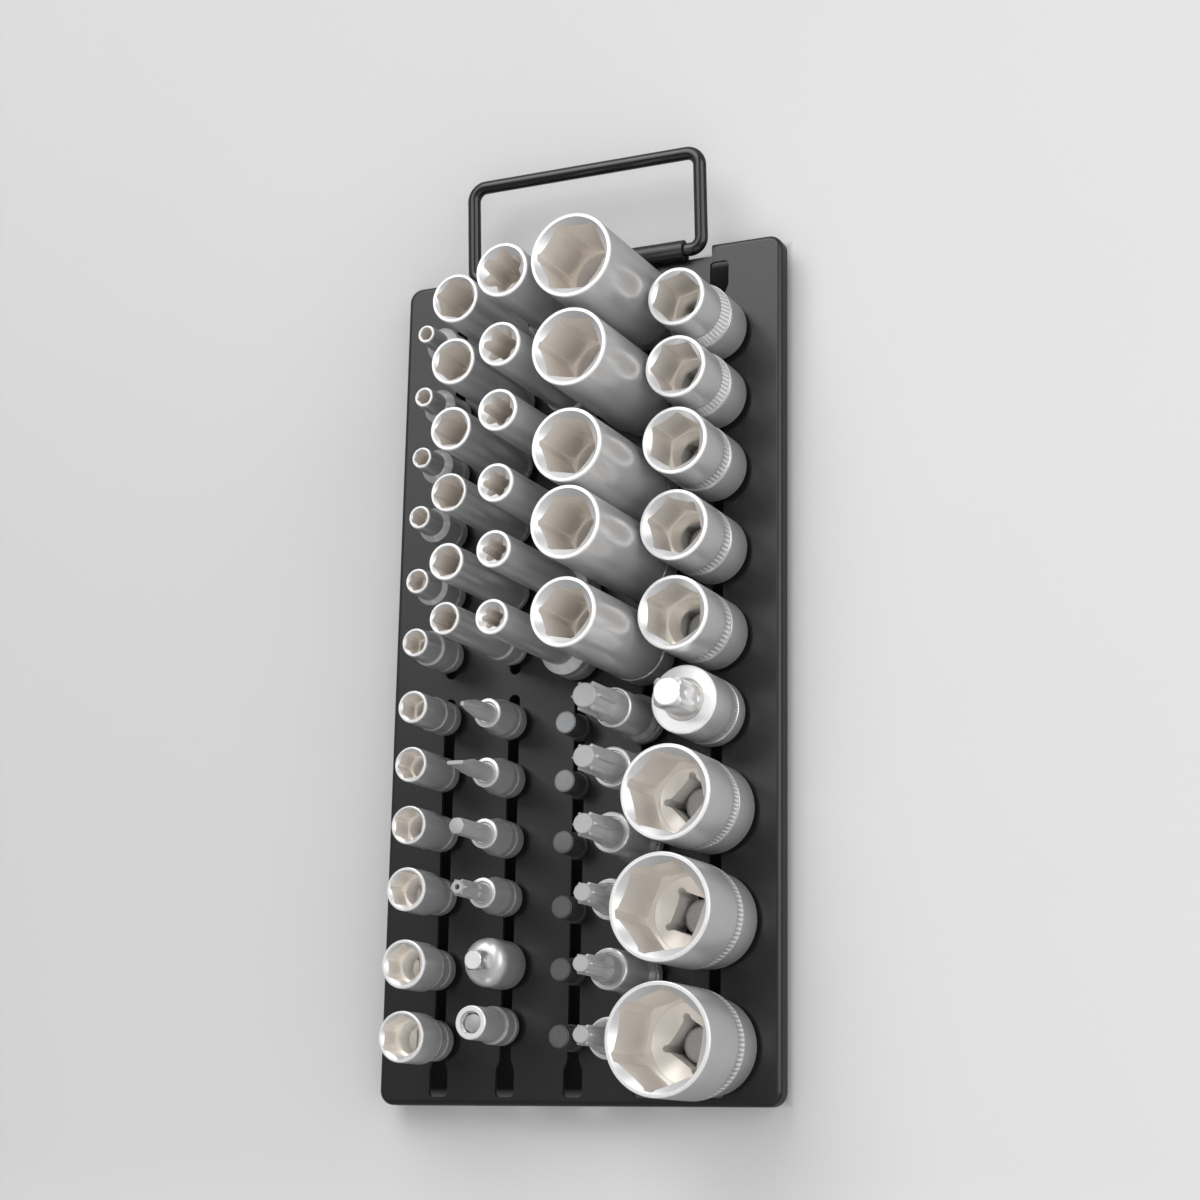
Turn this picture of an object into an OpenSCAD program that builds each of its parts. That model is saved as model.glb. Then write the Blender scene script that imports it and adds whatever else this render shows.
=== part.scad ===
// Hanging socket organizer: a folded steel panel with ten slots, a wire bail and clips that hold sockets
// Origin at the bottom centre of the panel's back rim, X to the right, Y towards the wall, Z up

/* [Panel] */
// Width of the panel
panel_w = 148; // [140:1:170]
// Height of the panel
panel_h = 298; // [290:1:330]
// Depth of the panel from its front face to the back edge of its rim
panel_depth = 6; // [5:0.5:9]
// Thickness of the steel sheet
sheet = 1.2; // [1:0.1:1.5]
// Radius of the panel's corners, seen from the front
corner_r = 5; // [4:0.5:8]
// Outside radius of the bend between the front and the rim
bend_r = 1.8; // [1.6:0.1:2.4]

/* [Slots] */
// Distance between two columns of slots
column_pitch = 25.4; // [25.4:0.1:28]
// Width of a slot
slot_w = 4.3; // [4:0.1:5]
// Sheet left below the lower slots
slot_bottom = 2.8; // [2.4:0.1:5]
// Height of the upper slots' top end
slot_top = 291; // [285:0.5:291]
// Height of the middle of the bridge between the upper and the lower slots
bridge_z = 144.4; // [140:0.2:148]
// Height of that bridge
bridge_h = 7.2; // [5:0.2:9]
// Width of the wide entry at a slot's outer end
entry_w = 7; // [6.8:0.1:8]
// Height of the wide entry
entry_h = 9; // [9:0.1:11]
// Height of the slope between the entry and the slot
entry_slope = 3.2; // [2:0.1:5]
// Radius of the entry's corners
entry_r = 1.5; // [1:0.1:2]

/* [Bail] */
// Diameter of the bail's wire
wire_d = 4.7; // [4:0.1:5]
// Height of the bail's top bar over the wire in the curl
bail_h = 35.5; // [30:0.5:60]
// Distance between the legs of the bail
bail_w = 90; // [80:0.5:92]
// Forward lean of the bail in degrees
bail_lean = 4.5; // [0:0.5:8]
// Bend radius between the leg and the top bar, on the wire's centre line
bail_top_r = 5; // [4:0.5:8]
// Bend radius between the leg and the wire in the curl, on the wire's centre line
bail_foot_r = 4; // [4:0.5:6]
// Height of the curl's axis
curl_z = 296; // [295:0.5:297]
// Length of the curl
curl_w = 77.4; // [60:0.2:78]
// Angle that the sheet turns round the wire in degrees
curl_turn = 300; // [280:5:300]
// Gap between the wire and the curl
wire_gap = 0.08; // [0.04:0.01:0.1]

/* [Clips] */
// Thickness of a clip's foot behind the sheet
foot_t = 1.5; // [1:0.1:2]
// Width of the foot
foot_w = 6.6; // [6:0.1:6.6]
// Height of the foot
foot_h = 8.6; // [8:0.1:8.8]
// Width of the neck in the slot
neck_w = 4; // [3.6:0.1:4.1]
// Height of the neck
neck_h = 5.5; // [5:0.1:6]
// Gap between a clip and the sheet
clip_gap = 0.15; // [0.1:0.05:0.2]
// Front face of a clip's flange over the panel's front
flange_out = 2; // [1.6:0.1:2.4]
// Front end of a clip's post over the panel's front
post_out = 11.2; // [10:0.1:12]
// Front end of a quarter-inch clip's post over the panel's front
short_post_out = 9.6; // [8.5:0.1:9.8]
// Gap between a flange and what sits on it
seat_gap = 0.3; // [0.2:0.05:0.4]
// Diameter of a three-eighths clip's post
post_d = 8; // [7.6:0.1:8.2]
// Number of flutes round the rim of a free post
flutes = 36; // [24:2:48]

/* [Drives] */
// Square of the quarter-inch drive
drive_quarter = 6.35; // [6.3:0.05:6.5]
// Square of the three-eighths drive
drive_three_eighths = 9.53; // [9.5:0.01:9.7]
// Square of the half-inch drive
drive_half = 12.7; // [12.7:0.05:12.9]
// Play between a drive square and its square hole
drive_gap = 0.2; // [0.1:0.05:0.3]
// Play between a post and a square hole, over the whole width
post_gap = 1.1; // [0.8:0.1:1.4]

/* [Small sockets] */
// Length of a short quarter-inch socket
small_len = 25; // [22:0.5:30]
// Drive-end diameter of the largest short socket
small_base_d = 14; // [13.5:0.1:14.5]
// Mouth diameter of the largest short socket
small_mouth_d = 17.1; // [16.8:0.1:17.4]
// Width across flats in the largest quarter-inch socket
small_hex = 13; // [12.6:0.1:13.2]
// Length of the drive end of a socket with a narrow nose
small_base_len = 15.7; // [13:0.1:17]
// Length of the drive end of a socket with a wide mouth
small_wide_len = 11.5; // [10:0.1:13]
// Length of a deep quarter-inch socket
deep_len = 50.7; // [45:0.1:55]
// Mouth diameter of the largest deep quarter-inch socket
deep_mouth_d = 17.5; // [17.2:0.1:17.8]
// Drive-end diameter of the largest deep quarter-inch socket
deep_base_d = 13.4; // [13:0.1:14]

/* [Star sockets] */
// Length of a deep star socket
star_len = 65.5; // [60:0.5:70]
// Mouth diameter of the largest deep star socket
star_mouth_d = 19; // [18.5:0.1:19.4]
// Drive-end diameter of a deep star socket
star_base_d = 17; // [16.6:0.1:17.6]
// Length of its drive end
star_base_len = 15; // [12:0.5:18]

/* [Deep half-inch sockets] */
// Length of a deep half-inch socket
tall_len = 65.4; // [60:0.1:70]
// Mouth diameter of the largest one
tall_mouth_d = 29.2; // [28:0.1:29.4]
// Width across flats in the largest one
tall_hex = 22; // [20:0.1:22]
// Drive-end diameter of a deep half-inch socket
tall_base_d = 24; // [23.6:0.1:24]
// Length of its drive end
tall_base_len = 10.7; // [8:0.1:14]

/* [Large sockets] */
// Length of a short half-inch socket in the upper row
large_len = 36.2; // [34:0.1:40]
// Length of the longest half-inch socket in the lower row
wide_len = 44.6; // [42:0.1:48]
// Mouth diameter of the largest half-inch socket
large_mouth_d = 35.8; // [34:0.1:35.8]
// Width across flats in the largest half-inch socket
large_hex = 28.5; // [26:0.1:28.5]
// Drive-end diameter of the largest half-inch socket
large_base_d = 32; // [31:0.1:32]
// Length of the drive end up to its knurl
large_plain_len = 11.7; // [10:0.1:13]
// Length of the knurl
large_knurl_len = 5.2; // [4:0.1:6]

/* [Bits] */
// Length of the body of a small bit socket
bit_body_len = 18.2; // [16:0.1:20]
// Diameter of that body
bit_body_d = 12.8; // [12:0.1:13.2]
// Length of a small bit socket with its bit
bit_len = 38; // [34:0.1:42]
// Diameter of a small bit's shank
bit_d = 6; // [5.6:0.1:6.4]
// Length of the body of a star bit socket
star_bit_body_len = 26.2; // [24:0.1:28]
// Drive-end diameter of a star bit socket
star_bit_base_d = 16.2; // [15.8:0.1:16.2]
// Front diameter of its body
star_bit_front_d = 13.6; // [13:0.1:13.6]
// Length of a star bit socket with its bit
star_bit_len = 47; // [42:0.1:50]
// Diameter over the lobes of the largest star bit
star_bit_d = 10.5; // [9.5:0.1:10.5]

/* [Adapters] */
// Diameter of the small adapter's body
small_adapter_d = 16.5; // [16:0.1:17]
// Length of the small adapter's body with its dome
small_adapter_len = 16.5; // [15:0.1:18]
// Length of its drive square
small_adapter_reach = 6.8; // [6:0.1:8]
// Outside diameter of the bit holder
bit_holder_d = 12.8; // [12.4:0.1:13.2]
// Length of the bit holder
bit_holder_len = 23.6; // [22:0.1:26]
// Diameter of the large adapter's body
large_adapter_d = 23; // [22:0.1:23.4]
// Length of the large adapter's body
large_adapter_len = 26.1; // [24:0.1:28]
// Length of its drive square
large_adapter_reach = 14.4; // [12:0.1:16]

/* [Hidden] */
$fn = 64;

// Overrun of every cut past the face it opens
over = 0.5;
// Bevel at the ends of turned tools
bevel = 0.5;
// Depth of the flutes on a free post
flute_depth = 0.2 * sheet;
// Post and flange diameters for the three drives
quarter_post_d = drive_quarter + drive_gap - post_gap;
half_post_d = drive_half + drive_gap - post_gap;
quarter_flange_d = quarter_post_d + 2 * sheet;
middle_flange_d = post_d + 0.85 * sheet;
half_flange_d = half_post_d + sheet;

// Places of the clips, as shares of the slot that holds them, from its lower end
upper_shares = [
    [0.843, 0.678, 0.521, 0.369, 0.208, 0.055],
    [0.850, 0.691, 0.523, 0.366, 0.198, 0.062],
    [0.859, 0.677, 0.517, 0.343, 0.187, 0.029],
    [0.870, 0.648, 0.414, 0.233, 0.026],
    [0.815, 0.643, 0.463, 0.261, 0.055]
];
lower_shares = [
    [0.945, 0.800, 0.649, 0.491, 0.309, 0.135],
    [0.927, 0.778, 0.627, 0.482, 0.317, 0.168],
    [0.904, 0.758, 0.607, 0.449, 0.299, 0.140],
    [0.907, 0.763, 0.607, 0.449, 0.287, 0.128],
    [0.914, 0.679, 0.413, 0.117]
];
lower_end = bridge_z - bridge_h / 2;
upper_start = bridge_z + bridge_h / 2;
function column_x(column) = (column - 3) * column_pitch;
function upper_z(column, i) = upper_start + upper_shares[column - 1][i] * (slot_top - upper_start);
function lower_z(column, i) = slot_bottom + lower_shares[column - 1][i] * (lower_end - slot_bottom);

// Puts a shape drawn as seen from the front, with its height along Z out of the panel, in its place
module on_front() {
    translate([0, -panel_depth, 0]) rotate([90, 0, 0]) children();
}

module at_upper(column, i) {
    on_front() translate([column_x(column), upper_z(column, i), 0]) children();
}

module at_lower(column, i) {
    on_front() translate([column_x(column), lower_z(column, i), 0]) children();
}

// A tool stands with its drive end just clear of the flange
module seated() {
    translate([0, 0, flange_out + seat_gap]) children();
}

// Panel

module rounded_edge(w, d, r) {
    square([w - r, d]);
    translate([w - r, r]) circle(r);
    translate([0, r]) square([w, d - r]);
}

// Section of the front sheet, its bend and the rim, from a corner's axis outwards
module rim_section() {
    mirror([0, 1]) difference() {
        rounded_edge(corner_r, panel_depth, bend_r);
        translate([-over, sheet])
            rounded_edge(corner_r - sheet + over, panel_depth - sheet + over, bend_r - sheet);
    }
}

module rim_strip(length) {
    rotate([90, 0, 0]) linear_extrude(length, center = true) rim_section();
}

module slot_outline(length) {
    rim = entry_r;
    translate([-entry_w / 2, rim]) square([entry_w, entry_h - rim]);
    translate([-entry_w / 2 + rim, 0]) square([entry_w - 2 * rim, entry_h]);
    for (side = [-1, 1]) translate([side * (entry_w / 2 - rim), rim]) circle(rim);
    polygon([
        [-entry_w / 2, entry_h],
        [entry_w / 2, entry_h],
        [slot_w / 2, entry_h + entry_slope],
        [-slot_w / 2, entry_h + entry_slope]
    ]);
    translate([-slot_w / 2, entry_h]) square([slot_w, length - entry_h - slot_w / 2]);
    translate([0, length - slot_w / 2]) circle(slot_w / 2);
}

curl_r = wire_d / 2 + wire_gap + sheet;
curl_out = curl_r - sheet;
notch_z = curl_z - wire_d / 2 - 0.35 * sheet;
notch_half = bail_w / 2 + wire_d / 2 + 0.5 * sheet;

// The tab at the top edge, rolled forward round the wire
module curl() {
    gap = 360 - curl_turn;
    reach = 2 * curl_r;
    rotate([90, 0, 90]) linear_extrude(curl_w, center = true) difference() {
        circle(curl_r);
        circle(curl_r - sheet);
        polygon([
            [0, 0],
            [-reach * cos(0), 0],
            [-reach * cos(gap / 2), -reach * sin(gap / 2)],
            [-reach * cos(gap), -reach * sin(gap)]
        ]);
    }
}

module panel() {
    flat_w = panel_w - 2 * corner_r;
    flat_h = panel_h - 2 * corner_r;
    color([0.1, 0.1, 0.11]) on_front() {
        difference() {
            union() {
                translate([-flat_w / 2, corner_r, -sheet]) cube([flat_w, flat_h, sheet]);
                for (side = [0, 1]) mirror([side, 0, 0]) {
                    translate([flat_w / 2, panel_h / 2, 0]) rim_strip(flat_h);
                    translate([flat_w / 2, corner_r + flat_h, 0]) rotate_extrude(angle = 90) rim_section();
                    translate([flat_w / 2, corner_r, 0]) rotate([0, 0, -90]) rotate_extrude(angle = 90)
                        rim_section();
                }
                translate([0, corner_r + flat_h, 0]) rotate([0, 0, 90]) rim_strip(flat_w);
                translate([0, corner_r, 0]) rotate([0, 0, -90]) rim_strip(flat_w);
            }
            translate([-notch_half, notch_z, -panel_depth - over])
                cube([2 * notch_half, panel_h, panel_depth + 2 * over]);
            for (column = [1 : 5]) translate([column_x(column), 0, -sheet - over]) {
                translate([0, slot_bottom, 0]) linear_extrude(sheet + 2 * over)
                    slot_outline(lower_end - slot_bottom);
                translate([0, slot_top, 0]) mirror([0, 1, 0]) linear_extrude(sheet + 2 * over)
                    slot_outline(slot_top - upper_start);
            }
        }
        translate([-curl_w / 2, notch_z - sheet, -sheet]) cube([curl_w, curl_z - notch_z + sheet, sheet]);
        translate([0, curl_z, curl_out]) curl();
    }
}

// Bail

module run(length) {
    cylinder(d = wire_d, h = length);
    translate([0, 0, length]) children();
}

// A square bend towards +X of what comes in along +Z
module bend(r) {
    translate([r, 0, 0]) rotate([90, 0, 0]) mirror([1, 0, 0])
        rotate_extrude(angle = 90) translate([r, 0]) circle(d = wire_d);
    translate([r, 0, r]) rotate([0, 90, 0]) children();
}

module half_bail() {
    rotate([0, 90, 0]) rotate([0, 0, 180])
        run(bail_w / 2 - bail_foot_r) bend(bail_foot_r)
        run(bail_h - bail_foot_r - bail_top_r) bend(bail_top_r)
        run(bail_w / 2 - bail_top_r);
}

module bail() {
    color([0.06, 0.06, 0.06]) translate([0, -panel_depth - curl_out, curl_z]) rotate([bail_lean, 0, 0]) {
        half_bail();
        mirror([1, 0, 0]) half_bail();
    }
}

// Clips

module fluted_disc(d, h, count, depth) {
    linear_extrude(h) polygon([
        for (i = [0 : 2 * count - 1])
            (d / 2 - (i % 2) * depth) * [cos(i * 180 / count), sin(i * 180 / count)]
    ]);
}

// The neck has round ends like the slot it runs in
module neck_outline() {
    square([neck_w, neck_h - neck_w], center = true);
    for (end = [-1, 1]) translate([0, end * (neck_h - neck_w) / 2]) circle(d = neck_w);
}

module clip(post, flange, fluted) {
    end_out = post < post_d ? short_post_out : post_out;
    rim_h = 0.17 * (end_out - flange_out);
    translate([-foot_w / 2, -foot_h / 2, -sheet - clip_gap - foot_t]) cube([foot_w, foot_h, foot_t]);
    translate([0, 0, -sheet - 2 * clip_gap]) linear_extrude(sheet + 4 * clip_gap) neck_outline();
    translate([0, 0, clip_gap]) cylinder(d = flange, h = flange_out - clip_gap);
    translate([0, 0, clip_gap]) cylinder(d = post, h = end_out - rim_h - clip_gap);
    translate([0, 0, end_out - rim_h]) {
        if (fluted) fluted_disc(post - flute_depth, rim_h - flute_depth, flutes, flute_depth);
        else cylinder(d = post, h = rim_h - flute_depth);
        cylinder(d1 = post - 5 * flute_depth, d2 = post - 6 * flute_depth, h = rim_h);
    }
}

module clip_color() {
    color([0.09, 0.09, 0.1]) children();
}

module upper_clips(column, post, flange) {
    clip_color() for (i = [0 : len(upper_shares[column - 1]) - 1])
        at_upper(column, i) clip(post, flange, false);
}

module lower_clips(column, post, flange, fluted = false) {
    clip_color() for (i = [0 : len(lower_shares[column - 1]) - 1])
        at_lower(column, i) clip(post, flange, fluted);
}

module fixed_clips() {
    upper_clips(4, half_post_d, half_flange_d);
    upper_clips(5, half_post_d, half_flange_d);
    lower_clips(5, half_post_d, half_flange_d);
}

// Bores and turned outlines

module square_hole(drive, depth) {
    side = drive + drive_gap;
    translate([-side / 2, -side / 2, -over]) cube([side, side, depth + over]);
}

// A six-sided hole with a small round relief in each corner
module hex_outline(flats) {
    corner = flats / 2 / cos(30);
    circle(corner, $fn = 6);
    for (a = [0 : 60 : 300]) rotate(a) translate([0.95 * corner, 0]) circle(0.09 * corner);
}

// A six-lobed outline: the radius swings six times between the lobes and the valleys
module star_outline(d) {
    middle = 0.43 * d;
    swing = 0.07 * d;
    polygon([for (a = [0 : 7.5 : 352.5]) (middle + swing * cos(6 * a)) * [cos(a), sin(a)]]);
}

// A turned tool body, from its drive end up to its mouth
module turned_body(length, base_d, base_len, front_d, mouth_d) {
    slope = 0.6 * abs(front_d - base_d) + bevel / 2;
    rotate_extrude() polygon([
        [0, 0],
        [base_d / 2 - bevel, 0],
        [base_d / 2, bevel],
        [base_d / 2, base_len - slope],
        [front_d / 2, base_len],
        [mouth_d / 2, length - bevel],
        [mouth_d / 2 - bevel, length],
        [0, length]
    ]);
}

// The way through a socket: drive square, round waist and the shaped mouth
module socket_bore(length, drive, drive_depth, waist_d, waist_start, mouth_depth, cone_d) {
    square_hole(drive, drive_depth);
    translate([0, 0, waist_start]) cylinder(d = waist_d, h = length - mouth_depth - waist_start + bevel);
    translate([0, 0, length - mouth_depth]) linear_extrude(mouth_depth + over) children();
    translate([0, 0, length - bevel]) cylinder(d1 = cone_d - 2 * bevel, d2 = cone_d + over, h = bevel + over / 2);
}

// Quarter-inch sockets

small_mouth_shares = [0.380, 0.421, 0.444, 0.485, 0.520, 0.585, 0.661, 0.713, 0.772, 0.871, 0.965, 1];
small_base_shares = [0.886, 0.886, 0.886, 0.886, 0.886, 0.886, 0.857, 0.857, 0.893, 0.929, 1, 1];
small_hex_shares = [0.308, 0.346, 0.385, 0.423, 0.462, 0.538, 0.615, 0.692, 0.769, 0.846, 0.923, 1];
deep_mouth_shares = [1, 0.949, 0.880, 0.766, 0.737, 0.640];
deep_base_shares = [1, 0.97, 0.95, 0.93, 0.92, 0.92];
deep_hex_shares = [1, 0.923, 0.846, 0.769, 0.692, 0.615];
quarter_depth = 1.25 * drive_quarter;

module small_socket(i) {
    mouth_d = small_mouth_d * small_mouth_shares[i];
    base_d = small_base_d * small_base_shares[i];
    flats = small_hex * small_hex_shares[i];
    narrow = i < 6;
    front_d = narrow ? mouth_d + 2 * bevel : mouth_d;
    color([0.72, 0.72, 0.73]) seated() difference() {
        turned_body(small_len, base_d, narrow ? small_base_len : small_wide_len, front_d, mouth_d);
        socket_bore(small_len, drive_quarter, quarter_depth, 0.86 * flats, quarter_depth - bevel,
                    0.36 * small_len, flats / cos(30)) hex_outline(flats);
    }
}

module deep_socket(i) {
    mouth_d = deep_mouth_d * deep_mouth_shares[i];
    flats = small_hex * deep_hex_shares[i];
    color([0.72, 0.72, 0.73]) seated() difference() {
        turned_body(deep_len, deep_base_d * deep_base_shares[i], small_wide_len, mouth_d, mouth_d);
        socket_bore(deep_len, drive_quarter, quarter_depth, 0.94 * flats, 1.1 * small_wide_len,
                    0.4 * deep_len, flats / cos(30)) hex_outline(flats);
        cylinder(d = 0.8 * drive_quarter, h = deep_len / 2);
    }
}

// Three-eighths sockets

star_mouth_shares = [1, 0.811, 0.763, 0.695, 0.663, 0.621];
star_bore_shares = [0.80, 0.78, 0.76, 0.72, 0.69, 0.65];
middle_depth = 1.2 * drive_three_eighths;

module deep_star_socket(i) {
    mouth_d = star_mouth_d * star_mouth_shares[i];
    lobes_d = mouth_d * star_bore_shares[i];
    base_d = max(star_base_d, mouth_d);
    color([0.7, 0.7, 0.71]) seated() difference() {
        turned_body(star_len, base_d, star_base_len, mouth_d, mouth_d);
        socket_bore(star_len, drive_three_eighths, middle_depth, 0.8 * lobes_d, middle_depth - bevel,
                    0.35 * star_len, lobes_d) star_outline(lobes_d);
    }
}

// Half-inch sockets

tall_mouth_shares = [1, 0.918, 0.856, 0.846, 0.795];
tall_base_shares = [1, 1, 1, 1, 0.97];
tall_hex_shares = [1, 0.909, 0.818, 0.795, 0.727];
half_depth = 1.15 * drive_half;

module tall_socket(i) {
    mouth_d = tall_mouth_d * tall_mouth_shares[i];
    flats = tall_hex * tall_hex_shares[i];
    color([0.72, 0.72, 0.73]) seated() difference() {
        turned_body(tall_len, tall_base_d * tall_base_shares[i], tall_base_len, mouth_d, mouth_d);
        socket_bore(tall_len, drive_half, half_depth, 0.92 * flats, half_depth + sheet,
                    0.4 * tall_len, flats / cos(30)) hex_outline(flats);
        cylinder(d = 0.9 * drive_half, h = half_depth + 2 * sheet);
    }
}

large_mouth_shares = [0.570, 0.603, 0.648, 0.673, 0.696, 0.869, 0.966, 1];
large_base_shares = [0.719, 0.719, 0.731, 0.750, 0.769, 0.938, 1, 1];
large_hex_shares = [0.456, 0.491, 0.544, 0.579, 0.614, 0.842, 0.947, 1];
large_length_shares = [0.913, 0.991, 1];

module large_socket(i) {
    mouth_d = large_mouth_d * large_mouth_shares[i];
    base_d = large_base_d * large_base_shares[i];
    flats = large_hex * large_hex_shares[i];
    length = i < 5 ? large_len : wide_len * large_length_shares[i - 5];
    color([0.74, 0.74, 0.75]) seated() difference() {
        turned_body(length, base_d, large_plain_len + large_knurl_len + bevel, mouth_d, mouth_d);
        socket_bore(length, drive_half, half_depth, 0.9 * flats, half_depth + sheet,
                    length - half_depth - 4 * sheet, flats / cos(30)) hex_outline(flats);
        cylinder(d = 0.9 * drive_half, h = half_depth + 2 * sheet);
    }
}

// Bits and adapters

// Cross, flat, hex and pierced star tips, each standing on the shank's front end
module cross_tip(d, h) {
    arm = 0.22 * d;
    intersection() {
        cylinder(d1 = d, d2 = 0.25 * d, h = h);
        union() {
            translate([-d / 2, -arm / 2, 0]) cube([d, arm, h]);
            translate([-arm / 2, -d / 2, 0]) cube([arm, d, h]);
            cylinder(d1 = d, d2 = 0.2 * d, h = 0.8 * h);
        }
    }
}

module flat_tip(d, h) {
    intersection() {
        cylinder(d = d, h = h);
        rotate([90, 0, 90]) linear_extrude(d, center = true) polygon([
            [-d / 2, 0],
            [d / 2, 0],
            [0.1 * d, h],
            [-0.1 * d, h]
        ]);
    }
}

module hex_tip(d, h) {
    intersection() {
        cylinder(d = d, h = h, $fn = 6);
        cylinder(d1 = d + 2 * h, d2 = 0.8 * d, h = h);
    }
}

module star_tip(d, h) {
    intersection() {
        linear_extrude(h) star_outline(d);
        cylinder(d1 = d + 2 * h, d2 = 0.8 * d, h = h);
    }
}

bit_length_shares = [0.95, 1.045, 0.992, 0.94];

module bit_socket(i) {
    tip_h = 2 * bit_d;
    shank = bit_len * bit_length_shares[i] - tip_h;
    color([0.68, 0.68, 0.69]) seated() difference() {
        union() {
            turned_body(bit_body_len, bit_body_d, 0.55 * bit_body_len, 0.8 * bit_body_d, 0.8 * bit_body_d);
            cylinder(d = bit_d, h = shank);
            translate([0, 0, shank]) {
                if (i == 0) cross_tip(bit_d, tip_h);
                if (i == 1) flat_tip(bit_d, tip_h);
                if (i == 2) hex_tip(bit_d, tip_h);
                if (i == 3) star_tip(bit_d, tip_h);
            }
        }
        square_hole(drive_quarter, quarter_depth);
        if (i == 3) translate([0, 0, shank + tip_h / 2]) cylinder(d = 0.3 * bit_d, h = tip_h);
    }
}

star_bit_shares = [1, 0.905, 0.810, 0.714, 0.667, 0.667];
star_bit_length_shares = [1.03, 1.02, 1.01, 1, 1, 0.98];

module star_bit_socket(i) {
    lobes_d = star_bit_d * star_bit_shares[i];
    length = star_bit_len * star_bit_length_shares[i];
    tip_h = 1.4 * star_bit_d;
    shank_d = max(lobes_d, 0.85 * star_bit_d) + bevel;
    base_len = 0.32 * star_bit_body_len;
    color([0.66, 0.66, 0.67]) seated() difference() {
        union() {
            turned_body(star_bit_body_len, star_bit_base_d, base_len, star_bit_front_d, star_bit_front_d);
            translate([0, 0, star_bit_body_len - bevel])
                cylinder(d = shank_d, h = length - tip_h - star_bit_body_len + bevel);
            translate([0, 0, length - tip_h]) star_tip(lobes_d, tip_h);
        }
        square_hole(drive_three_eighths, middle_depth);
    }
}

module drive_square(drive, h) {
    intersection() {
        translate([-drive / 2, -drive / 2, 0]) cube([drive, drive, h]);
        cylinder(d1 = 1.3 * drive + 2 * h, d2 = 1.02 * drive, h = h);
    }
}

// A turned dome on a round body, flat where its top is at half the body's diameter
module dome(d, h) {
    top = 60;
    rotate_extrude() polygon(concat(
        [[0, 0]],
        [for (a = [0 : top / 6 : top]) [d / 2 * cos(a), h * sin(a) / sin(top)]],
        [[0, h]]
    ));
}

module small_adapter() {
    dome_h = 0.26 * small_adapter_len;
    straight = small_adapter_len - dome_h;
    color([0.78, 0.78, 0.79]) seated() difference() {
        union() {
            cylinder(d1 = small_adapter_d - 2 * bevel, d2 = small_adapter_d, h = bevel);
            translate([0, 0, bevel]) cylinder(d = small_adapter_d, h = straight - bevel);
            translate([0, 0, straight]) dome(small_adapter_d, dome_h);
            translate([0, 0, straight]) drive_square(drive_quarter, dome_h + small_adapter_reach);
        }
        square_hole(drive_quarter, quarter_depth);
    }
}

module bit_holder() {
    nose_d = 0.88 * bit_holder_d;
    color([0.72, 0.72, 0.73]) seated() difference() {
        turned_body(bit_holder_len, bit_holder_d, 0.4 * bit_holder_len, nose_d, nose_d);
        square_hole(drive_quarter, quarter_depth);
        translate([0, 0, bit_holder_len - 1.2 * drive_quarter])
            cylinder(d = (drive_quarter + drive_gap) / cos(30), h = 2 * drive_quarter, $fn = 6);
    }
}

module large_adapter() {
    recess_d = 0.59 * large_adapter_d;
    color([0.78, 0.78, 0.79]) seated() difference() {
        union() {
            turned_body(large_adapter_len, large_adapter_d, large_plain_len, large_adapter_d, large_adapter_d);
            translate([0, 0, large_adapter_len / 2])
                drive_square(drive_three_eighths, large_adapter_len / 2 + large_adapter_reach);
        }
        square_hole(drive_half, half_depth);
        translate([0, 0, large_adapter_len - sheet]) difference() {
            cylinder(d = recess_d, h = sheet + over);
            translate([-drive_three_eighths / 2, -drive_three_eighths / 2, -over])
                cube([drive_three_eighths, drive_three_eighths, large_adapter_reach]);
        }
    }
}

panel();
bail();
upper_clips(1, quarter_post_d, quarter_flange_d);  // clips_1_upper
lower_clips(1, quarter_post_d, quarter_flange_d);  // clips_1_lower
upper_clips(2, quarter_post_d, quarter_flange_d);  // clips_2_upper
lower_clips(2, quarter_post_d, quarter_flange_d);  // clips_2_lower
upper_clips(3, post_d, middle_flange_d);  // clips_3_upper
lower_clips(3, post_d, middle_flange_d, true);  // clips_3_lower
lower_clips(4, post_d, middle_flange_d);  // clips_4_lower
fixed_clips();
for (i = [0 : 5]) {
    at_upper(1, i) small_socket(i);
    at_lower(1, i) small_socket(i + 6);
    at_upper(2, i) deep_socket(i);
    at_upper(3, i) deep_star_socket(i);
    at_lower(4, i) star_bit_socket(i);
}
for (i = [0 : 3]) at_lower(2, i) bit_socket(i);
at_lower(2, 4) small_adapter();
at_lower(2, 5) bit_holder();
for (i = [0 : 4]) {
    at_upper(4, i) tall_socket(i);
    at_upper(5, i) large_socket(i);
}
at_lower(5, 0) large_adapter();
for (i = [0 : 2]) {
    at_lower(5, i + 1) large_socket(i + 5);
}
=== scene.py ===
import bmesh
import bpy
import math
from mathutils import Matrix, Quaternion, Vector


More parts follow.
